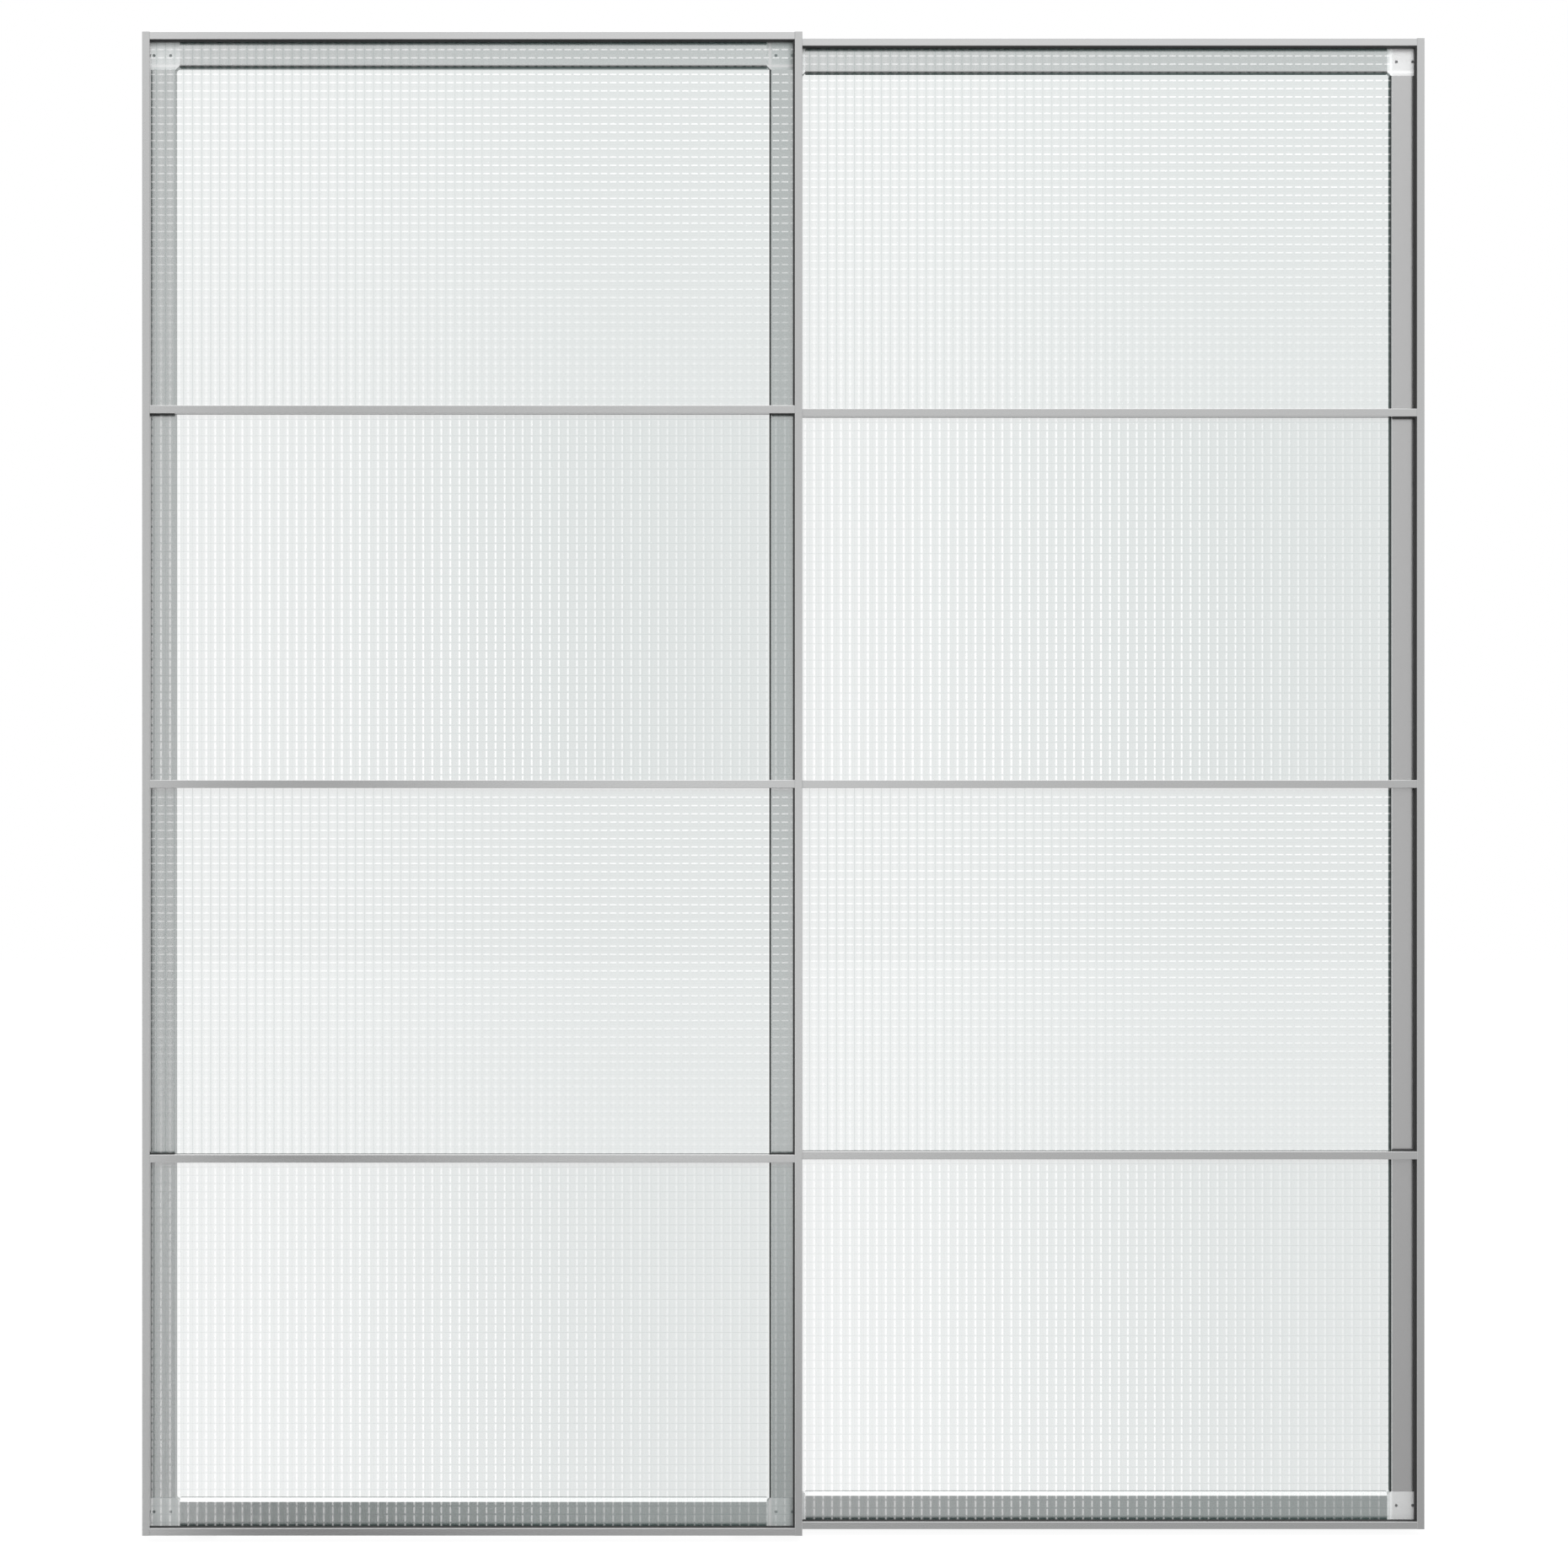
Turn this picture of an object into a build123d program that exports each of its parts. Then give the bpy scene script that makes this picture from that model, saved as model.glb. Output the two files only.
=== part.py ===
from build123d import *
import os

# A pair of bypassing sliding doors: two framed, cross-reeded glass doors and the two tracks they run on.
# Millimetres. X runs to the right, Y to the back, Z up. The origin is the middle of the whole at its base.

# The doors
door_width = 1036.0
door_height = 2360.0
door_overlap = 51.0
door_pitch = 40.0
door_depth = 28.0
set_depth = 108.0
guide_drop = 4.0

# The hollow extrusion that stiles and rails are cut from
wall = 1.5
lip_width = 12.0
lip_depth = 10.0
groove_floor = 4.7
flange_front = 15.5
flange_width = 49.5
flange_chamber_split = 25.0
sill_rise = 5.5
front_edge_radius = 0.8
inner_edge_radius = 1.6
back_edge_radius = 1.0

# Panes of glass, reeded upright on the front and level on the back
pane_width = 1024.0
pane_height = 585.2
pane_count = 4
pane_front = 11.0
pane_thickness = 4.4
upright_reeds = 72
level_reeds = 45
reed_height = 0.4

# Glazing bars, which cover the joints between the panes
bar_pitch = 588.0
first_bar_height = 591.5
bar_names = ["bottom", "middle", "top"]
bar_face = 12.6
bar_front = 0.8
bar_depth = 9.6
bar_wall = 1.3
bar_web = 2.4
bar_fin = 1.8

# Corner brackets and their screws
bracket_size = 56.0
bracket_gap = 0.1
bracket_wall = 2.2
bracket_boss = 7.2
tongue_length = 22.0
tongue_gap = 0.4
tongue_taper = 3.0
corner_screw_places = [15.5, 41.5]
corner_screw_drop = 33.8
corner_screw_head = 4.4
corner_screw_shank = 2.4
corner_screw_length = 8.0
corner_screw_sink = 0.2

# Black rubber: the glazing bead, the inner seal and the packers at the bars' ends
bead_front = 2.5
bead_tuck = 4.5
top_bead = 1.8
right_bead = 2.6
bottom_bead = 0.9
seal_width = 2.5
seal_inset = 1.3
packer_height = 1.5
packer_front = 3.0

# Hangers, rollers and guides
rear_lane = 77.0
front_lane = 95.0
carrier_inset = 90.0
steel = 2.0
bend_radius = 1.0
hanger_width = 60.0
hanger_foot = 2314.0
hanger_over = 2362.5
hanger_drop = 2338.0
rear_hanger_top = 2354.0
hanger_screw_height = 2321.5
guide_width = 40.0
guide_head = 42.0
guide_tip = 20.0
guide_screw_height = 30.0
rear_guide_floor = 1.5
carrier_screw_spacing = 24.0
carrier_screw_head = 7.4
carrier_screw_head_height = 2.4
carrier_screw_shank = 3.8
carrier_screw_length = 8.0
wheel_radius = 11.0
wheel_groove_radius = 9.0
wheel_width = 5.0
wheel_groove_mouth = 3.8
wheel_groove_floor = 2.3
wheel_bevel = 0.5
wheel_recess = 0.4
wheel_hub_radius = 4.6
wheel_bore = 5.1
axle_diameter = 5.0
axle_collar = 9.0
axle_head = 8.0
axle_head_height = 1.2
axle_play = 0.3

# Tracks
track_length = 2000.0
track_front = 72.5
track_wall = 2.0
top_track_base = 2326.0
ridge_top = 2336.0
ridge_width = 1.8
ridge_tip_radius = 0.7
top_track_back = 2350.0
top_track_front_lip = 2332.0
bottom_track_top = 26.0
channel_foot = 6.0
channel_width = 5.0
channel_wall = 1.5
track_screw_line = 86.0
track_screw_spacing = 600.0
track_screw_count = 4
track_screw_hole = 4.5
ride_gap = 0.3
stop_start = 932.5
stop_length = 30.0
stop_width = 5.8
stop_slot = 2.8
stop_top = 2346.0

# Gaps between pieces that are pushed together, and how much wider than its screw or pin a hole is
assembly_gap = 0.05
tapped_clearance = 0.2
loose_clearance = 0.4
axle_clearance = 0.1

# How far a cutting solid reaches past what it cuts
cut = 1.0

door_left = {"front": -door_width + door_overlap / 2, "rear": -door_overlap / 2}
door_front = {"front": -set_depth / 2, "rear": -set_depth / 2 + door_pitch}
lane = {"front": front_lane, "rear": rear_lane - door_pitch}
bar_heights = [first_bar_height + n * bar_pitch for n in range(pane_count - 1)]
carrier_places = {"left": carrier_inset, "right": door_width - carrier_inset}
axle_height = ridge_top + ride_gap + wheel_groove_radius


def block(x, y, z):
    """A box between two limits on each axis."""
    size = [limits[1] - limits[0] for limits in (x, y, z)]
    return Pos(x[0], y[0], z[0]) * Box(*size, align=(Align.MIN, Align.MIN, Align.MIN))


def rod(x, z, y_from, y_to, diameter):
    """A round bar along Y."""
    middle = Pos(x, (y_from + y_to) / 2, z)
    return middle * Rot(X=90) * Cylinder(diameter / 2, y_to - y_from)


def outline(points, radii):
    """A closed face whose corners are rounded by the given radii."""
    return make_face(FilletPolyline(*points, radius=radii, close=True))


def folded_strip(path, width, x):
    """Sheet steel folded along a square-cornered path in Y and Z, as wide as given along X."""
    half = steel / 2
    left, right, turns = [], [], []
    steps = [(b[0] - a[0], b[1] - a[1]) for a, b in zip(path, path[1:])]
    signs = [(sign(dy), sign(dz)) for dy, dz in steps]
    for n, (y, z) in enumerate(path):
        before = signs[max(n - 1, 0)]
        after = signs[min(n, len(signs) - 1)]
        corner = 0 < n < len(path) - 1
        shift_y = -before[1] - after[1] if corner else -before[1]
        shift_z = before[0] + after[0] if corner else before[0]
        left.append((y + half * shift_y, z + half * shift_z))
        right.append((y - half * shift_y, z - half * shift_z))
        turns.append(before[0] * after[1] - before[1] * after[0])
    inner, outer = bend_radius, bend_radius + steel
    left_radii = [0 if t == 0 else inner if t > 0 else outer for t in turns]
    right_radii = [0 if t == 0 else outer if t > 0 else inner for t in turns]
    face = outline(left + right[::-1], left_radii + right_radii[::-1])
    strip = extrude(Plane.YZ * face, amount=width / 2, both=True)
    return Pos(x, 0, 0) * strip


def sign(value):
    return (value > 0) - (value < 0)


def frame_profile(sill=0.0):
    """Section of the frame: inset from the door's edge along X, depth along Y.
    With a sill, the flange's inner edge slopes up behind the glass."""
    inner_edge = flange_width + sill
    slope = [(inner_edge, flange_front + sill)] if sill else []
    points = [(0, 0), (lip_width, 0), (lip_width, lip_depth), (groove_floor, lip_depth)]
    points += [(groove_floor, flange_front), (flange_width, flange_front)] + slope
    points += [(inner_edge, door_depth), (0, door_depth)]
    radii = [front_edge_radius, front_edge_radius, wall / 4, 0, 0, inner_edge_radius]
    radii += [0.0] * len(slope) + [back_edge_radius, back_edge_radius]
    section = outline(points, radii)
    section -= chamber(wall, lip_width - wall, wall, lip_depth - wall)
    back = door_depth - wall
    section -= chamber(wall, flange_chamber_split - wall / 2, flange_front + wall, back)
    section -= chamber(flange_chamber_split + wall / 2, flange_width - wall, flange_front + wall, back)
    return section


def chamber(x_from, x_to, y_from, y_to):
    middle = Pos((x_from + x_to) / 2, (y_from + y_to) / 2)
    return middle * Rectangle(x_to - x_from, y_to - y_from)


def left_stile():
    """Full height, its flange cut back at both ends for the corner brackets."""
    stile = extrude(frame_profile(), amount=door_height)
    across, deep = (wall, bracket_size), (flange_front, door_depth + cut)
    stile -= block(across, deep, (-cut, bracket_size))
    stile -= block(across, deep, (door_height - bracket_size, door_height + cut))
    return stile


def right_stile():
    return Pos(door_width, 0, 0) * mirror(left_stile(), about=Plane.YZ)


def bottom_rail():
    """Its lip ends between the stiles' lips, its flange between the corner brackets."""
    return rail(sill_rise) - carrier_screw_holes(guide_screw_height)


def top_rail():
    turned = Pos(0, 0, door_height) * mirror(rail(), about=Plane.XY)
    return turned - carrier_screw_holes(hanger_screw_height)


def rail(sill=0.0):
    """A rail lying on the door's bottom edge."""
    length = extrude(frame_profile(sill), amount=door_width - 2 * wall)
    return Pos(door_width - wall, 0, 0) * Rot(Y=-90) * length - rail_end_cuts()


def rail_end_cuts():
    """What a rail leaves to the stiles and brackets at its ends."""
    high = bracket_size + sill_rise
    left = block((-cut, lip_width), (-cut, lip_depth), (-cut, high))
    left += block((-cut, groove_floor), (lip_depth, flange_front), (-cut, high))
    left += block((-cut, bracket_size), (flange_front, door_depth + cut), (wall, high))
    return left + Pos(door_width, 0, 0) * mirror(left, about=Plane.YZ)


def carrier_screw_places(height):
    half = carrier_screw_spacing / 2
    return [(x + side, height) for x in carrier_places.values() for side in (-half, half)]


def carrier_screw_holes(height):
    holes = Part()
    for x, z in carrier_screw_places(height):
        holes += rod(x, z, door_depth - wall - cut, door_depth + cut, carrier_screw_shank + tapped_clearance)
    return holes


def reeded_outline(length, reeds, thickness):
    """A strip with a row of shallow convex arcs along its lower side, which crest at zero."""
    pitch = length / reeds
    arcs = [
        ThreePointArc((n * pitch, reed_height), ((n + 0.5) * pitch, 0), ((n + 1) * pitch, reed_height))
        for n in range(reeds)
    ]
    rest = Polyline((length, reed_height), (length, thickness), (0, thickness), (0, reed_height))
    return make_face(arcs + [rest])


def pane(index):
    """Glass where upright reeds on the front cross level reeds on the back."""
    spare = pane_thickness + cut
    upright = extrude(reeded_outline(pane_width, upright_reeds, spare), amount=pane_height)
    level = extrude(reeded_outline(pane_height, level_reeds, spare), amount=pane_width)
    level = Pos(0, pane_thickness, 0) * Rot(Z=180) * Rot(Y=-90) * level
    glass = upright & level
    inset = (door_width - pane_width) / 2
    foot = first_bar_height - bar_pitch / 2 - pane_height / 2 + index * bar_pitch
    return Pos(inset, pane_front, foot) * glass


def glazing_bar(height):
    """A hollow bar from lip to lip, a web between two panes and a fin behind them."""
    back = bar_front + bar_depth
    half, length = bar_face / 2, door_width - 2 * lip_width - 2 * assembly_gap
    corners = [(bar_front, -half), (bar_front, half), (back, half), (back, -half)]
    section = outline(corners, [front_edge_radius, front_edge_radius, 0, 0])
    section -= chamber(bar_front + bar_wall, back - bar_wall, -half + bar_wall, half - bar_wall)
    section += chamber(back - bar_wall / 2, flange_front - assembly_gap, -bar_web / 2, bar_web / 2)
    bar = Pos(lip_width + assembly_gap, 0, 0) * extrude(Plane.YZ * section, amount=length)
    fin_x = (flange_width + assembly_gap, door_width - flange_width - seal_width - assembly_gap)
    fin_y = flange_front - assembly_gap
    fin = block(fin_x, (fin_y, fin_y + bar_fin), (-half, half))
    return Pos(0, 0, height) * (bar + fin)


def corner_bracket():
    """The bottom left bracket: a moulded shell that is open at the back, with ribs round its screws,
    a chamfer across the opening's corner, and a tongue for each extrusion."""
    near, far, inner = wall + bracket_gap, bracket_size, flange_width
    front, back = flange_front + bracket_gap, door_depth
    points = [(near, near), (far, near), (far, inner), (inner, far), (near, far)]
    body = extrude(Plane.XZ * outline(points, [0.0] * 5), amount=-(back - front))
    body = Pos(0, front, 0) * body
    rim = bracket_wall
    hollow = [(near + rim, near + rim), (far - rim, near + rim), (far - rim, inner - rim / 2)]
    hollow += [(inner - rim / 2, far - rim), (near + rim, far - rim)]
    pocket = extrude(Plane.XZ * outline(hollow, [0.0] * 5), amount=-(back - front))
    body -= Pos(0, front + rim, 0) * pocket
    rib_back = back - rim
    rib_middle = (corner_screw_places[0] + corner_screw_places[1]) / 2
    body += block((rib_middle - rim / 2, rib_middle + rim / 2), (front, rib_back), (near, far - rim / 2))
    body += block((near, far - rim / 2), (front, rib_back), (rib_middle - rim / 2, rib_middle + rim / 2))
    seat = front + corner_screw_sink + corner_screw_shank / 2
    for x in corner_screw_places:
        body += rod(x, corner_screw_drop, front, rib_back, bracket_boss)
        body -= rod(x, corner_screw_drop, front - cut, back + cut, corner_screw_shank + tapped_clearance)
        body -= rod(x, corner_screw_drop, front - cut, seat, corner_screw_head + loose_clearance)
    return body + bracket_tongue() + mirror(bracket_tongue(), about=Plane((0, 0, 0), z_dir=(1, 0, -1)))


def bracket_tongue():
    """The tongue that plugs into the stile's outer chamber, tapered at its tip."""
    low, high = wall + tongue_gap, flange_chamber_split - wall / 2 - tongue_gap
    front, back = flange_front + wall + tongue_gap, door_depth - wall - tongue_gap
    start, tip = bracket_size - bracket_wall, bracket_size + tongue_length
    shoulder = tip - tongue_taper
    side = [(low, start), (high, start), (high, shoulder), (high - tongue_taper, tip)]
    side += [(low + tongue_taper, tip), (low, shoulder)]
    tongue = extrude(Plane.XZ * outline(side, [0.0] * 6), amount=-(back - front))
    return Pos(0, front, 0) * tongue


def corners():
    """The four corner brackets by name."""
    bottom_left = corner_bracket()
    bottom_right = Pos(door_width, 0, 0) * mirror(bottom_left, about=Plane.YZ)
    lift = Pos(0, 0, door_height)
    return {
        "bottom_left": bottom_left,
        "bottom_right": bottom_right,
        "top_left": lift * mirror(bottom_left, about=Plane.XY),
        "top_right": lift * mirror(bottom_right, about=Plane.XY),
    }


def corner_screws():
    front = flange_front + bracket_gap + corner_screw_sink - assembly_gap
    neck = front + corner_screw_shank / 2
    screws = []
    for z in (corner_screw_drop, door_height - corner_screw_drop):
        for x in corner_screw_places + [door_width - place for place in corner_screw_places]:
            head = rod(x, z, front, neck, corner_screw_head)
            screws.append(head + rod(x, z, neck, neck + corner_screw_length, corner_screw_shank))
    return Part() + screws


def bead_strip(width, start, end):
    """A straight length of bead along the bottom of a door: a strip between lip and glass,
    with a lip of its own tucked in behind the frame's."""
    back = pane_front - assembly_gap
    strip = block((start, end), (bead_front, back), (lip_width, lip_width + width))
    tuck = block((start, end), (lip_depth + assembly_gap, back), (lip_width - bead_tuck, lip_width))
    return strip + tuck


def glazing_bead():
    """Along the top, the right and the bottom, broken where the bars meet the lip."""
    inner_left, inner_right = lip_width, door_width - lip_width
    half = bar_face / 2
    bottom = bead_strip(bottom_bead, inner_left, inner_right)
    top = mirror(bead_strip(top_bead, inner_left, inner_right), about=Plane.XY)
    bead = bottom + Pos(0, 0, door_height) * top
    ends = [lip_width] + [h + side for h in bar_heights for side in (-half, half)]
    ends.append(door_height - lip_width)
    for low, high in zip(ends[::2], ends[1::2]):
        upright = Rot(Y=-90) * bead_strip(right_bead, low, high)
        bead += Pos(door_width, 0, 0) * upright
    return bead


def inner_seal():
    """A strip with a rounded nose along the flange's inner edge, at the top and the right."""
    front, back = flange_front + seal_inset, door_depth - seal_inset / 2
    start, nose = flange_width, flange_width + seal_width
    points = [(start, front), (nose, front), (nose, back), (start, back)]
    section = outline(points, [0, seal_width / 3, seal_width / 3, 0])
    upright = extrude(section, amount=door_height - 2 * bracket_size)
    upright = Pos(door_width, 0, bracket_size) * mirror(upright, about=Plane.YZ)
    level = extrude(section, amount=door_width - 2 * bracket_size)
    level = Pos(bracket_size, 0, door_height) * Rot(Y=90) * level
    return upright + level


def bar_packers():
    """Black packers under the ends of the top bar and over the ends of the bottom bar."""
    half = bar_face / 2
    rows = [(bar_heights[-1] - half - packer_height, bar_heights[-1] - half)]
    rows.append((bar_heights[0] + half, bar_heights[0] + half + packer_height))
    left = (lip_width + assembly_gap, flange_width)
    right = (door_width - flange_width, door_width - lip_width - right_bead - assembly_gap)
    deep = (packer_front, pane_front - assembly_gap)
    return Part() + [block(x, deep, z) for x in (left, right) for z in rows]


def hanger(place, x):
    """The front door's hanger reaches back over the rear door's top, the rear door's is flat."""
    plate_y = door_depth + steel / 2
    axle_y = (door_depth, door_depth + steel)
    path = [(plate_y, hanger_foot), (plate_y, rear_hanger_top)]
    if place == "front":
        leg_y = lane[place] + wheel_width / 2 + steel * 1.5
        axle_y = (leg_y - steel / 2, leg_y + steel / 2)
        path[1] = (plate_y, hanger_over)
        path += [(leg_y, hanger_over), (leg_y, hanger_drop)]
    plate = folded_strip(path, hanger_width, x)
    plate -= rod(x, axle_height, axle_y[0] - cut / 2, axle_y[1] + cut / 2, axle_diameter + axle_clearance)
    return plate - carrier_holes(x, hanger_screw_height)


def carrier_holes(x, height):
    half = carrier_screw_spacing / 2
    size = carrier_screw_shank + loose_clearance
    back = door_depth + steel + cut / 2
    holes = rod(x - half, height, door_depth - cut / 2, back, size)
    return holes + rod(x + half, height, door_depth - cut / 2, back, size)


def guide(place, x):
    """A folded strip whose tip runs up into the bottom track's channel."""
    plate_y = door_depth + steel / 2
    floor = steel / 2 - guide_drop if place == "front" else rear_guide_floor
    path = [(plate_y, guide_head), (plate_y, floor), (lane[place], floor), (lane[place], guide_tip)]
    return folded_strip(path, guide_width, x) - carrier_holes(x, guide_screw_height)


def axle(place, x):
    """A pin in the hanger's plate or leg, with a collar on one side of its roller and a head on the other."""
    roller_front = lane[place] - wheel_width / 2
    roller_back = lane[place] + wheel_width / 2
    if place == "front":
        leg_front = roller_back + steel
        leg_back = leg_front + steel
        collar = (roller_back + axle_play, leg_front - assembly_gap)
        heads = [head_span(roller_front - axle_play, -1), head_span(leg_back + assembly_gap, 1)]
        ends = (heads[0][0], heads[1][1])
    else:
        collar = (door_depth + steel + assembly_gap, roller_front - axle_play)
        heads = [head_span(roller_back + axle_play, 1)]
        ends = (door_depth + axle_clearance, heads[0][1])
    pin = rod(x, axle_height, *ends, axle_diameter) + rod(x, axle_height, *collar, axle_collar)
    return pin + [rod(x, axle_height, *head, axle_head) for head in heads]


def head_span(seat, way):
    return tuple(sorted([seat, seat + way * axle_head_height]))


def roller(place, x):
    """A wheel with a groove that straddles the track's ridge."""
    half, dish = wheel_width / 2, wheel_width / 2 - wheel_recess
    rim = wheel_radius - wheel_bevel
    points = [(wheel_bore / 2, -half), (wheel_hub_radius, -half), (wheel_hub_radius + wheel_bevel, -dish)]
    points += [(rim - 2 * wheel_bevel, -dish), (rim - wheel_bevel, -half), (rim, -half)]
    points += [(wheel_radius, -wheel_groove_mouth / 2), (wheel_groove_radius, -wheel_groove_floor / 2)]
    points += [(radius, -y) for radius, y in points[::-1]]
    face = make_face(Polyline(*points, close=True))
    wheel = revolve(Plane.XY * face, axis=Axis.Y, revolution_arc=360)
    return Pos(x, lane[place], axle_height) * wheel


def carrier_screws():
    """Pan-head screws that hold the hangers and guides to the rails' back walls."""
    head_front = door_depth + steel
    screws = []
    for height in (hanger_screw_height, guide_screw_height):
        for x, z in carrier_screw_places(height):
            head = rod(x, z, head_front, head_front + carrier_screw_head_height, carrier_screw_head)
            shank = rod(x, z, head_front - carrier_screw_length, head_front, carrier_screw_shank)
            screws.append(head + shank)
    return Part() + screws


def door(place):
    """The pieces of one door by name, in the door's own frame: left edge, front face and bottom edge at zero."""
    pieces = {"stile_left": left_stile(), "stile_right": right_stile()}
    pieces |= {"rail_top": top_rail(), "rail_bottom": bottom_rail()}
    for name, height in zip(bar_names, bar_heights):
        pieces[f"bar_{name}"] = glazing_bar(height)
    for index in range(pane_count):
        pieces[f"pane_{index + 1}"] = pane(index)
    for name, bracket in corners().items():
        pieces[f"corner_{name}"] = bracket
    pieces["corner_screws"] = corner_screws()
    pieces["glazing_bead"] = glazing_bead()
    pieces["inner_seal"] = inner_seal()
    pieces["bar_packers"] = bar_packers()
    for side, x in carrier_places.items():
        pieces[f"hanger_{side}"] = hanger(place, x)
        pieces[f"axle_{side}"] = axle(place, x)
        pieces[f"roller_{side}"] = roller(place, x)
        pieces[f"guide_{side}"] = guide(place, x)
    pieces["fixings"] = carrier_screws()
    return pieces


def track_screw_holes(z_from, z_to):
    first = -track_screw_spacing * (track_screw_count - 1) / 2
    holes = Part()
    for n in range(track_screw_count):
        place = Pos(first + n * track_screw_spacing, track_screw_line, (z_from + z_to) / 2)
        holes += place * Cylinder(track_screw_hole / 2, z_to - z_from + 2 * cut)
    return holes


def top_track():
    """A base that is screwed down, a ridge for each door's rollers, and an upstand at the back."""
    deck, back = top_track_base + track_wall, set_depth
    along = (-track_length / 2, track_length / 2)
    track = block(along, (track_front, back), (top_track_base, deck))
    track += block(along, (back - track_wall, back), (deck, top_track_back))
    track += block(along, (track_front, track_front + wall), (deck, top_track_front_lip))
    for middle in (rear_lane, front_lane):
        half = ridge_width / 2
        points = [(middle - half, deck), (middle - half, ridge_top), (middle + half, ridge_top)]
        ridge = outline(points + [(middle + half, deck)], [0, ridge_tip_radius, ridge_tip_radius, 0])
        track += extrude(Plane.YZ * ridge, amount=track_length / 2, both=True)
    return track - track_screw_holes(top_track_base, deck)


def bottom_track():
    """A plate that is screwed up against the base, with a channel below it for each door's guides."""
    plate, back = bottom_track_top - track_wall, set_depth
    along = (-track_length / 2, track_length / 2)
    half = channel_width / 2
    first = rear_lane - half - channel_wall
    track = block(along, (first, back), (plate, bottom_track_top))
    track += block(along, (back - track_wall, back), (channel_foot, plate))
    for middle in (rear_lane, front_lane):
        near, far = middle - half, middle + half
        track += block(along, (near - channel_wall, near), (channel_foot, plate))
        track += block(along, (far, far + channel_wall), (channel_foot, plate))
    return track - track_screw_holes(plate, bottom_track_top)


def end_stops():
    """Blocks that are clipped over the ridges at both ends of each lane."""
    deck = top_track_base + track_wall + ride_gap
    stops = []
    for start in (stop_start, -stop_start - stop_length):
        for middle in (rear_lane, front_lane):
            wide = (middle - stop_width / 2, middle + stop_width / 2)
            slot = (middle - stop_slot / 2, middle + stop_slot / 2)
            along = (start, start + stop_length)
            stop = block(along, wide, (deck, stop_top))
            stop -= block((along[0] - cut, along[1] + cut), slot, (deck - cut, ridge_top + ride_gap))
            stops.append(stop)
    return Part() + stops


def whole():
    """Every piece by name, in the frame of the whole."""
    pieces = {}
    for place in ("front", "rear"):
        where = Pos(door_left[place], door_front[place], guide_drop)
        for name, piece in door(place).items():
            pieces[f"{place}_{name}"] = where * piece
    fixed = {"top_track": top_track(), "bottom_track": bottom_track(), "end_stops": end_stops()}
    for name, piece in fixed.items():
        pieces[name] = Pos(0, -set_depth / 2, guide_drop) * piece
    return pieces


os.makedirs("parts", exist_ok=True)
for name, piece in whole().items():
    export_step(piece, f"parts/{name}.step")
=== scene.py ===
import math

import bpy
import numpy as np
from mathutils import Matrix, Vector

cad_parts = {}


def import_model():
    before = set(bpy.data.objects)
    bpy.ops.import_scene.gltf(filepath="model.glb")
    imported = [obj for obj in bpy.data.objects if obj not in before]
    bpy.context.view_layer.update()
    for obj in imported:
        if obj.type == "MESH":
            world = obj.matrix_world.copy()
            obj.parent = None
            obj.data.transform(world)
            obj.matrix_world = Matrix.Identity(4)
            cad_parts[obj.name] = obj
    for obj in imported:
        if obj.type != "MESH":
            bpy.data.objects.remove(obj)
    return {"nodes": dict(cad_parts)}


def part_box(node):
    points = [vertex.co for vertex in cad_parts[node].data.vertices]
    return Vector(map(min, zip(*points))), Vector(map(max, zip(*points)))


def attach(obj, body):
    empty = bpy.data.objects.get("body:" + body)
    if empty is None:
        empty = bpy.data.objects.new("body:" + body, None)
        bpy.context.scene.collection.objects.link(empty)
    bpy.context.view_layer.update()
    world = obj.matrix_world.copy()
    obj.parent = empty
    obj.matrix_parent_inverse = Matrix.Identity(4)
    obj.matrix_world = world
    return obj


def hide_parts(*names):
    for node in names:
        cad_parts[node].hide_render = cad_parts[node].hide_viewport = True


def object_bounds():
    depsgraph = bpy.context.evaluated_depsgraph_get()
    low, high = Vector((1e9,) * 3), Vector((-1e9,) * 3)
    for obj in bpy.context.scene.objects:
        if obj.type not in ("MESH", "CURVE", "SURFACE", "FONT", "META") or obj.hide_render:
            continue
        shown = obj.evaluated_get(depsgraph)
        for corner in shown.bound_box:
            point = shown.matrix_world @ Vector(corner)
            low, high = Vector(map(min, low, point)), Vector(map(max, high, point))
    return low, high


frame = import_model()
cad_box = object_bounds()

NODES = frame["nodes"]
PLACES = ("front", "rear")
SIDES = ("left", "right")
PANES = (1, 2, 3, 4)
CORNERS = ("bottom_left", "bottom_right", "top_left", "top_right")
BARS = ("bottom", "middle", "top")

# The camera stands before the middle of the doors, level, at the distance that the two doors' sizes give
IMAGE_WIDTH_AT_FRONT = 2.460
CAMERA_DISTANCE = 4.566
SENSOR_WIDTH = 36.0
CAMERA_OFFSET = (-0.0033, -0.0005)

# One large soft lamp before the doors, above their tops
LAMP_PLACE = (0.9, -3.9, 3.2)
LAMP_AIM = (0.3, 0.0, 1.5)
LAMP_SIZE = (3.2, 3.0)
LAMP_POWER = 235.0

# The floor's own glow makes it white to the camera, and its paint is darker to the camera, for a faint shadow
FLOOR_DROP = 0.008
FLOOR_SPAN = 30.0
FLOOR_GLOW = 0.925
FLOOR_PAINT = 0.30
FLOOR_PAINT_TO_CAMERA = 0.08

# Reeds of the glass: upright ones on the front, level ones on the back, and pillows between their crossings
UPRIGHT_REEDS = 72
LEVEL_REEDS = 45
REED_HEIGHT = 0.0004
PILLOW_HEIGHT = 0.00018
STEPS_PER_REED = 4
STEPS_PER_LEVEL = 3
STEPS_PER_BACK_REED = 4

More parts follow.
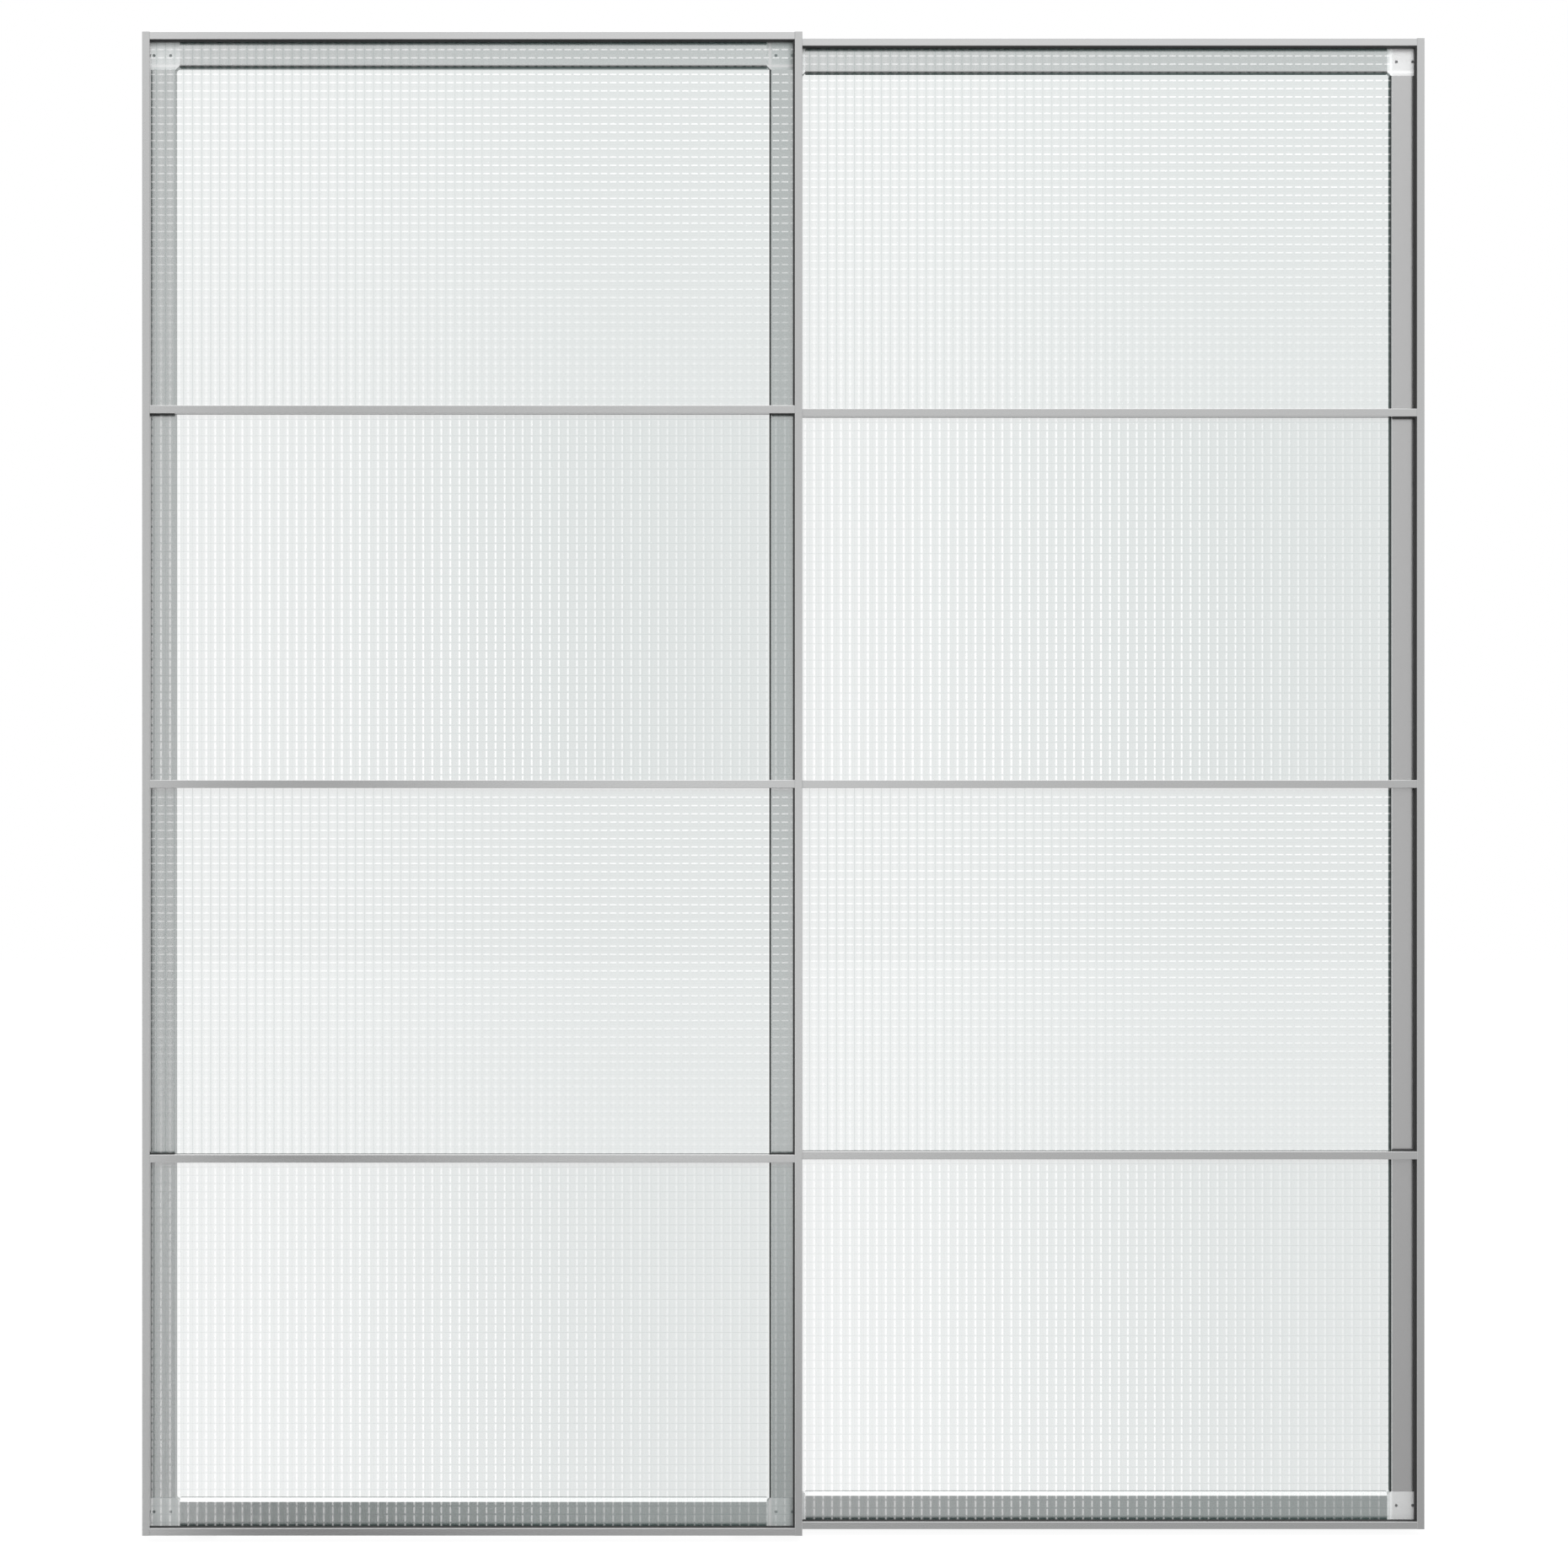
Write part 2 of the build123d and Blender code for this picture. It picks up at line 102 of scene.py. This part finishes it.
# Shares of the glass that veil what is behind it, and how much clearer its left side is made, painted light
# for how the light falls across the pane
LEVEL_PANE_VEIL, LEVEL_PANE_PAINTED_LEFT_LIGHT = 0.195, 0.090
UPRIGHT_PANE_VEIL, UPRIGHT_PANE_PAINTED_LEFT_LIGHT = 0.225, 0.120
BODY_VEIL = 0.04
GLASS_TINT = (0.09, 0.15, 0.14, 1.0)
PLAIN_GLASS_TINT = (0.14, 0.14, 0.14, 1.0)
GLASS_INDEX = 1.52
GLASS_ROUGHNESS = 0.12

# The width at the right of each door's panes that shows no painted strokes of light or shade
PLAIN_MARGIN = {"front": 0.0, "rear": 0.0435}

# The black inner seal stands partly in for the shade along the top and right of the glass, as painted shade;
# its middle is half its width in from its corner, and the glass is clear for this far beside it
SEAL_HALF_WIDTH = 0.0015
SEAL_CLEARANCE = 0.004

# Dark and light tones of each finish
BARE_ALUMINIUM = (0.727, 0.731, 0.731, 1.0), (0.746, 0.750, 0.750, 1.0)
# The paler aluminium is painted light, a lit copy of the finish used behind the glass
ALUMINIUM_WITH_PAINTED_LIGHT = (0.82, 0.82, 0.82, 1.0), (0.85, 0.85, 0.85, 1.0)
ZINC = (0.52, 0.53, 0.545), (0.70, 0.71, 0.715)
BRACKET_PLASTIC = (0.55, 0.555, 0.555), (0.60, 0.605, 0.605)
ROLLER_NYLON = (0.78, 0.78, 0.74, 1.0), (0.88, 0.88, 0.85, 1.0)
BLACK_RUBBER = (0.008, 0.008, 0.008, 1.0), (0.022, 0.022, 0.022, 1.0)

# Shares of the finish's tone: blackened steel is darker than the rest, and the front door's brackets are
# darkened one by one as painted shade for how the light falls on each
BLACKENED_STEEL_TONE = 0.40
PAINTED_BRACKET_SHADE = {
    "front_corner_top_left": 0.86,
    "front_corner_top_right": 0.62,
    "front_corner_bottom_left": 0.72,
    "front_corner_bottom_right": 0.67,
}

# Painted shade: the stiles' colour darkens a little towards their tops, for how the light falls on them
STILE_TOP_PAINTED_SHADE = 0.10
STILE_PAINTED_SHADE_HEIGHTS = (1.48, 2.28)


class Wire:
    """A socket of a shader. An operator on it adds the Math node that it stands for."""

    def __init__(self, shader, socket):
        self.shader = shader
        self.socket = socket

    def math(self, operation, *others):
        inputs = dict(enumerate((self, *others)))
        return self.shader.node("ShaderNodeMath", {"operation": operation}, inputs)

    def __add__(self, other):
        return self.math("ADD", other)

    def __radd__(self, other):
        return self.math("ADD", other)

    def __sub__(self, other):
        return self.math("SUBTRACT", other)

    def __rsub__(self, other):
        return self.math("MULTIPLY", -1.0).math("ADD", other)

    def __mul__(self, other):
        return self.math("MULTIPLY", other)

    def __rmul__(self, other):
        return self.math("MULTIPLY", other)

    def __truediv__(self, other):
        return self.math("DIVIDE", other)

    def __neg__(self):
        return self.math("MULTIPLY", -1.0)


class Shader:
    """The node tree of a material or of the world."""

    def __init__(self, owner):
        owner.use_nodes = True
        self.tree = owner.node_tree
        self.tree.nodes.clear()

    def node(self, kind, settings=None, inputs=None, output=0):
        made = self.tree.nodes.new(kind)
        for name, value in (settings or {}).items():
            setattr(made, name, value)
        for key, value in (inputs or {}).items():
            if isinstance(value, Wire):
                self.tree.links.new(value.socket, made.inputs[key])
            else:
                made.inputs[key].default_value = value
        return Wire(self, made.outputs[output]) if made.outputs else None

    def place(self):
        """The point on the piece as X, Y and Z in metres, in the frame at rest."""
        return self.split(self.node("ShaderNodeTexCoord", output="Object"))

    def split(self, vector):
        return [self.node("ShaderNodeSeparateXYZ", inputs={0: vector}, output=n) for n in range(3)]

    def join(self, x, y, z):
        return self.node("ShaderNodeCombineXYZ", inputs={0: x, 1: y, 2: z})

    def noise(self, point, scale, detail=2.0):
        return self.node("ShaderNodeTexNoise", inputs={"Vector": point, "Scale": scale, "Detail": detail})

    def step(self, value, low, high):
        """0 below low, 1 above high and smooth between."""
        smooth = {"interpolation_type": "SMOOTHSTEP"}
        return self.node("ShaderNodeMapRange", smooth, {"Value": value, "From Min": low, "From Max": high})

    def hump(self, value, middle, half_width):
        """1 at the middle and falling smoothly to 0 a half width away."""
        away = (value - middle).math("ABSOLUTE")
        return 1.0 - self.step(away, 0.0, half_width)

    def stroke(self, run, cross, length, width):
        """A soft stroke in the middle of a cell, as shares of the cell's size from its middle."""
        ends = 1.0 - self.step(run.math("ABSOLUTE"), length - 0.08, length)
        return ends * (1.0 - self.step(cross.math("ABSOLUTE"), 0.03, width))

    def blend(self, share, first, second):
        """A colour that goes from the first to the second as share goes from 0 to 1."""
        return self.node("ShaderNodeMix", {"data_type": "RGBA"}, {0: share, 6: first, 7: second}, output=2)

    def bump(self, height, strength, distance):
        inputs = {"Strength": strength, "Distance": distance, "Height": height}
        return self.node("ShaderNodeBump", inputs=inputs)

    def finish(self, **inputs):
        named = {name.replace("_", " "): value for name, value in inputs.items()}
        surface = self.node("ShaderNodeBsdfPrincipled", inputs=named)
        self.node("ShaderNodeOutputMaterial", inputs={"Surface": surface})


def new_material(name):
    material = bpy.data.materials.new(name)
    return material, Shader(material)


def grey(tone):
    return (tone, tone, tone, 1.0)


def toned(colours, tone):
    """The colours, each at this share of its tone."""
    return [(*(tone * part for part in colour), 1.0) for colour in colours]


def satin_aluminium(name, along, glass_front, painted_top_shade=0.0):
    """Anodised extrusion: a fine grain drawn along its length, faint die lines, painted light that makes it
    paler behind the glass, and, when given a top shade, painted shade towards its top.
    """
    material, s = new_material(name)
    x, y, z = s.place()
    stretch = {"X": (0.02, 1.0, 1.0), "Z": (1.0, 1.0, 0.02)}[along]
    drawn = s.join(x * stretch[0], y * stretch[1], z * stretch[2])
    grain = s.noise(drawn, 2600.0)
    die_lines = s.noise(drawn, 420.0)
    cloud = s.noise(s.join(x, y, z), 3.0)
    tone = 0.25 * grain + 0.25 * die_lines + 0.5 * cloud
    # Painted light: behind the glass the aluminium takes a paler copy of its tones
    behind_glass = s.step(y, glass_front - 0.002, glass_front)
    colour = s.blend(behind_glass, s.blend(tone, *BARE_ALUMINIUM), s.blend(tone, *ALUMINIUM_WITH_PAINTED_LIGHT))
    # Painted shade: the colour darkens towards the top, for how the light falls there
    if painted_top_shade:
        colour = s.blend(painted_top_shade * s.step(z, *STILE_PAINTED_SHADE_HEIGHTS), colour, grey(0.0))
    rough = 0.19 + 0.02 * die_lines
    s.finish(Base_Color=colour, Metallic=1.0, Roughness=rough, Normal=s.bump(grain, 0.02, 0.00003))
    return material


def zinc_steel(name, tone):
    """Zinc-plated sheet, pins and screws: a cool grey with soft mottling."""
    material, s = new_material(name)
    point = s.join(*s.place())
    mottle = s.noise(point, 160.0, 4.0)
    speck = s.noise(point, 1500.0)
    colour = s.blend(mottle, *toned(ZINC, tone))
    rough = 0.30 + 0.16 * mottle
    s.finish(Base_Color=colour, Metallic=1.0, Roughness=rough, Normal=s.bump(speck, 0.15, 0.00008))
    return material


def moulded_plastic(name, dark, light):
    """Matt moulded plastic with a fine spark-eroded texture."""
    material, s = new_material(name)
    point = s.join(*s.place())
    texture = s.noise(point, 2200.0, 3.0)
    flow = s.noise(point, 30.0)
    colour = s.blend(0.2 * texture + 0.8 * flow, dark, light)
    rough = 0.50 + 0.06 * texture
    s.finish(Base_Color=colour, Roughness=rough, Normal=s.bump(texture, 0.04, 0.00002))
    return material


def black_rubber():
    """Black rubber with a faint bloom."""
    material, s = new_material("black_rubber")
    point = s.join(*s.place())
    bloom = s.noise(point, 90.0, 4.0)
    grain = s.noise(point, 1800.0)
    colour = s.blend(bloom, *BLACK_RUBBER)
    rough = 0.62 + 0.2 * bloom
    s.finish(Base_Color=colour, Roughness=rough, Normal=s.bump(grain, 0.2, 0.00005))
    return material


def painted_level_strokes(s, across, up, height, upright):
    """The painted highlights, level strokes, and the painted shade under them, for a pane whose cells catch
    the light as level strokes.
    """
    level = s.stroke(across, up, 0.40, 0.12) * (0.25 + 0.75 * s.step(height, 0.0, 0.70))
    bright = 0.84 * level + 0.35 * upright * (1.0 - s.step(height, 0.0, 0.50))
    return bright, s.stroke(across, up + 0.20, 0.42, 0.14)


def painted_upright_strokes(s, across, up, height, upright):
    """The painted highlights, upright strokes, and the painted shade beside them, for a pane whose cells
    catch the light as upright ones.
    """
    bright = upright * (0.92 - 0.26 * s.step(height, 0.20, 1.0))
    return bright, s.stroke(up, across - 0.20, 0.45, 0.16)


def glass(name, low, high, is_level, plain_margin, seal):
    """Cross-reeded glass: a thin veil, with painted highlights as level or upright white strokes where its
    cells catch the light, and painted shade in its grooves and beside the strokes.
    """
    material, s = new_material(name)
    x, y, z = s.place()
    pitch = (high[0] - low[0]) / UPRIGHT_REEDS, (high[2] - low[2]) / LEVEL_REEDS
    across = ((x - low[0]) / pitch[0]).math("FRACT") - 0.5
    up = ((z - low[2]) / pitch[1]).math("FRACT") - 0.5
    share = (x - low[0]) / (high[0] - low[0])
    height = (z - low[2]) / (high[2] - low[2])
    # Painted light: the pane's left side is made clearer, so brighter, for how the light falls across it
    left = 1.0 - s.step(share, 0.02, 0.75)
    # Painted highlight: upright strokes in each cell, fading towards the right
    upright = s.stroke(up, across, 0.43, 0.14) * (1.0 - 0.55 * s.step(share, 0.45, 0.95))
    # Painted shade: dark grooves between the reeds, the upright ones only on the left
    painted_upright_groove_shade = left * s.step(across.math("ABSOLUTE"), 0.41, 0.48)
    painted_level_groove_shade = s.step(up.math("ABSOLUTE"), 0.42, 0.48)
    if is_level:
        density = LEVEL_PANE_VEIL - LEVEL_PANE_PAINTED_LEFT_LIGHT * left
        bright, shade = painted_level_strokes(s, across, up, height, upright)
        dark = 1.8 * painted_upright_groove_shade + 0.3 * painted_level_groove_shade + 0.45 * shade
    else:
        density = UPRIGHT_PANE_VEIL - UPRIGHT_PANE_PAINTED_LEFT_LIGHT * left
        bright, shade = painted_upright_strokes(s, across, up, height, upright)
        dark = 0.5 * painted_upright_groove_shade + 0.9 * painted_level_groove_shade + 0.45 * shade
    # Painted highlight: the reed crests on the left of the pane are paler
    painted_crest_highlight = left * (1.0 - s.step(across.math("ABSOLUTE"), 0.05, 0.25))
    wave = s.noise(s.join(x, y, z), 40.0)
    shown, tint = 1.0, GLASS_TINT
    if plain_margin:
        shown = 1.0 - s.step(x, high[0] - plain_margin, high[0] - plain_margin + 0.002)
        tint = s.blend(shown, PLAIN_GLASS_TINT, GLASS_TINT)
    front = 1.0 - s.step(y, low[1] + 0.002, low[1] + 0.003)
    # The glass is kept clear beside the black inner seal, so that its painted shade shows
    beside_seal = s.hump(x, seal[0], SEAL_CLEARANCE).math("MAXIMUM", s.hump(z, seal[1], SEAL_CLEARANCE))
    # The painted highlights and painted shade also thicken the veil
    veil = density + 0.02 * wave + shown * (0.10 * bright + 0.08 * dark)
    alpha = (BODY_VEIL + front * veil) * (1.0 - 0.85 * beside_seal)
    # Painted highlights: the strokes and crests turn the colour towards white
    lit = shown * (0.80 * bright + 0.16 * painted_crest_highlight)
    colour = s.blend(lit, tint, grey(0.97))
    s.finish(Base_Color=colour, Roughness=GLASS_ROUGHNESS, IOR=GLASS_INDEX, Alpha=alpha)
    return material


def swing(steps, steps_per_reed):
    """From -1 at one groove to 1 at the next, for each step along the reeds."""
    return (np.arange(steps + 1) / steps_per_reed) % 1.0 * 2.0 - 1.0


def pillowed_front(low, high, columns, rows):
    """Points of the pane's front, row by row from its bottom left, and its faces."""
    across = np.linspace(low[0], high[0], columns + 1)
    up = np.linspace(low[2], high[2], rows + 1)
    reeds = REED_HEIGHT * swing(columns, STEPS_PER_REED) ** 2
    pillows = PILLOW_HEIGHT * swing(rows, STEPS_PER_LEVEL) ** 2
    sag = reeds[None, :] + pillows[:, None]
    grid = np.stack(np.broadcast_arrays(across[None, :], low[1] + sag, up[:, None]), axis=-1)
    corner = (np.arange(columns)[None, :] + (columns + 1) * np.arange(rows)[:, None]).reshape(-1)
    quads = np.stack([corner, corner + 1, corner + columns + 2, corner + columns + 1], axis=1)
    return grid.reshape(-1, 3), quads.tolist()


def reeded_back(low, high, rows, first):
    """Points of the pane's back, in pairs from its bottom, and its faces, whose points count from first."""
    depths = high[1] - REED_HEIGHT * swing(rows, STEPS_PER_BACK_REED) ** 2
    heights = np.linspace(low[2], high[2], rows + 1)
    points = [(x, y, z) for y, z in zip(depths, heights) for x in (low[0], high[0])]
    faces = [[pair + 1, pair, pair + 2, pair + 3] for pair in range(first, first + 2 * rows, 2)]
    return np.array(points), faces


def pane_edges(columns, rows, back_rows, first):
    """The four edges of the pane, each one face from its front to its back."""
    last = first + 2 * back_rows
    bottom = list(range(columns + 1))
    top = list(range(rows * (columns + 1), (rows + 1) * (columns + 1)))
    left = [row * (columns + 1) for row in range(rows + 1)]
    right = [row * (columns + 1) + columns for row in range(rows + 1)]
    back_left = list(range(first, last + 1, 2))
    back_right = list(range(first + 1, last + 2, 2))
    return [
        [first, first + 1] + bottom[::-1],
        [last + 1, last] + top,
        left + back_left[::-1],
        right[::-1] + back_right,
    ]


def pane_mesh(name, low, high):
    """A pane with a fine grid of shallow pillows in front, and level reeds behind."""
    columns, rows = UPRIGHT_REEDS * STEPS_PER_REED, LEVEL_REEDS * STEPS_PER_LEVEL
    back_rows = LEVEL_REEDS * STEPS_PER_BACK_REED
    front_points, front_faces = pillowed_front(low, high, columns, rows)
    first = len(front_points)
    back_points, back_faces = reeded_back(low, high, back_rows, first)
    edges = pane_edges(columns, rows, back_rows, first)
    mesh = bpy.data.meshes.new(name)
    points = np.vstack([front_points, back_points])
    mesh.from_pydata(points.tolist(), [], front_faces + back_faces + edges)
    smooth = np.ones(len(mesh.polygons), dtype=bool)
    smooth[-len(edges):] = False
    mesh.polygons.foreach_set("use_smooth", smooth)
    return mesh


def panes(place):
    """The four panes of one door. The first and third from the top show painted highlights as level strokes,
    the others upright.
    """
    seal_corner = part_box(f"{place}_inner_seal")[1]
    seal = seal_corner[0] - SEAL_HALF_WIDTH, seal_corner[2] - SEAL_HALF_WIDTH
    for number in PANES:
        node = f"{place}_pane_{number}"
        low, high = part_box(node)
        mesh = pane_mesh(f"{place}_glass_{number}", low, high)
        mesh.materials.append(glass(mesh.name, low, high, number % 2 == 0, PLAIN_MARGIN[place], seal))
        piece = bpy.data.objects.new(mesh.name, mesh)
        bpy.context.scene.collection.objects.link(piece)
        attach(piece, f"{place}_door")
        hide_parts(node)
        piece.visible_shadow = False
        piece.visible_glossy = False
        piece.visible_diffuse = False


def dress(names, material):
    for name in names:
        mesh = NODES[name].data
        mesh.materials.clear()
        mesh.materials.append(material)


def dress_doors():
    """The finish of every solid that stays: frames, brackets, seals, screws, hangers, rollers and guides."""
    steel = zinc_steel("zinc_steel", 1.0)
    blackened = zinc_steel("blackened_steel", BLACKENED_STEEL_TONE)
    nylon = moulded_plastic("roller_nylon", *ROLLER_NYLON)
    rubber = black_rubber()
    for place in PLACES:
        glass_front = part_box(f"{place}_pane_1")[0][1]
        upright = satin_aluminium(f"{place}_aluminium_upright", "Z", glass_front, STILE_TOP_PAINTED_SHADE)
        level = satin_aluminium(f"{place}_aluminium_level", "X", glass_front)
        dress([f"{place}_stile_{side}" for side in SIDES], upright)
        dress([f"{place}_rail_top", f"{place}_rail_bottom"], level)
        dress([f"{place}_bar_{bar}" for bar in BARS], level)
        for corner in CORNERS:
            node = f"{place}_corner_{corner}"
            # Painted shade: each front bracket's plastic is darkened by its own share, for how the light
            # falls on it
            colours = toned(BRACKET_PLASTIC, PAINTED_BRACKET_SHADE.get(node, 1.0))
            dress([node], moulded_plastic(f"{node}_plastic", *colours))
        # The glazing bead and inner seal are black rubber, and also painted shade: dark strips along the
        # glass's edges where there is shade
        dress([f"{place}_{name}" for name in ("glazing_bead", "inner_seal", "bar_packers")], rubber)
        steel_names = [f"{name}_{side}" for name in ("hanger", "axle", "guide") for side in SIDES]
        dress([f"{place}_{name}" for name in steel_names + ["fixings"]], steel)
        dress([f"{place}_corner_screws"], blackened)
        dress([f"{place}_roller_{side}" for side in SIDES], nylon)
    dress(["top_track", "bottom_track"], satin_aluminium("track_aluminium", "X", -1.0))
    dress(["end_stops"], rubber)


def grey_cards(s, x, y, z):
    """How bright the cards before the doors are, by where a ray that the doors mirror goes: dark low and
    bright high, with a dark band left of the middle, a pale patch in the middle and a pale left edge."""
    forward = (-y).math("MAXIMUM", 0.05)
    across, up = x / forward, z / forward
    rise = 0.355 + 0.227 * s.step(up, -0.383, 0.0) + 0.547 * s.step(up, 0.03, 0.50)
    dusk = s.hump(across, -0.197, 0.07) * (0.395 + 0.70 * s.step(-up, -0.266, 0.208))
    middle = 0.50 * s.hump(across, -0.03, 0.123) * s.hump(up, -0.07, 0.178)
    edge = s.step(-across, 0.18, 0.24) * (1.0 - 0.75 * s.step(up, -0.25, 0.25))
    return rise - dusk + middle + edge


def world():
    """White to the camera. The rest sees a studio: grey walls, bright ceiling, and cards before the doors."""
    made = bpy.data.worlds.new("studio")
    bpy.context.scene.world = made
    s = Shader(made)
    x, y, z = s.split(s.node("ShaderNodeTexCoord", output="Generated"))
    before = s.step(-y, 0.78, 0.93)
    room = 0.56 + 1.05 * s.step(z, 0.42, 0.76) + 0.10 * s.step(x, 0.2, 0.9)
    studio = before * grey_cards(s, x, y, z) + (1.0 - before) * room
    camera_ray = s.node("ShaderNodeLightPath", output="Is Camera Ray")
    white = camera_ray.math("MAXIMUM", s.node("ShaderNodeLightPath", output="Is Transmission Ray"))
    strength = white + (1.0 - white) * studio
    background = s.node("ShaderNodeBackground", inputs={"Color": grey(1.0), "Strength": strength})
    s.node("ShaderNodeOutputWorld", inputs={"Surface": background})


def floor():
    """A pale floor just below the doors, white to the camera apart from the doors' soft shadow."""
    mesh = bpy.data.meshes.new("floor")
    half, z = FLOOR_SPAN / 2, -FLOOR_DROP
    corners = [(-half, -half, z), (half, -half, z), (half, half, z), (-half, half, z)]
    mesh.from_pydata(corners, [], [(0, 1, 2, 3)])
    piece = bpy.data.objects.new("floor", mesh)
    bpy.context.scene.collection.objects.link(piece)
    material, s = new_material("floor_white")
    camera_ray = s.node("ShaderNodeLightPath", output="Is Camera Ray")
    paint = s.blend(camera_ray, grey(FLOOR_PAINT), grey(FLOOR_PAINT_TO_CAMERA))
    lit = s.node("ShaderNodeBsdfDiffuse", inputs={"Color": paint})
    glow = s.node("ShaderNodeEmission", inputs={"Color": grey(1.0), "Strength": camera_ray * FLOOR_GLOW})
    both = s.node("ShaderNodeAddShader", inputs={0: lit, 1: glow})
    s.node("ShaderNodeOutputMaterial", inputs={"Surface": both})
    mesh.materials.append(material)
    piece.visible_glossy = False


def lamp():
    light = bpy.data.lights.new("key", "AREA")
    light.shape = "RECTANGLE"
    light.size, light.size_y = LAMP_SIZE
    light.energy = LAMP_POWER
    piece = bpy.data.objects.new("key", light)
    piece.location = LAMP_PLACE
    piece.rotation_euler = (Vector(LAMP_AIM) - Vector(LAMP_PLACE)).to_track_quat("-Z", "Y").to_euler()
    piece.visible_glossy = False
    bpy.context.scene.collection.objects.link(piece)


def camera():
    """A level camera before the doors, at the middle of their height."""
    data = bpy.data.cameras.new("camera")
    data.sensor_width = SENSOR_WIDTH
    data.lens = SENSOR_WIDTH * CAMERA_DISTANCE / IMAGE_WIDTH_AT_FRONT
    data.clip_start, data.clip_end = 0.1, 100.0
    piece = bpy.data.objects.new("camera", data)
    doors_low, doors_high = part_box("front_stile_left")
    middle = (doors_low[2] + doors_high[2]) / 2
    front = cad_box[0][1]
    piece.location = (CAMERA_OFFSET[0], front - CAMERA_DISTANCE, middle + CAMERA_OFFSET[1])
    piece.rotation_euler = (math.pi / 2, 0.0, 0.0)
    bpy.context.scene.collection.objects.link(piece)
    bpy.context.scene.camera = piece


camera()
world()
lamp()
floor()
dress_doors()
for place in PLACES:
    panes(place)

bpy.context.scene.view_settings.view_transform = "Standard"
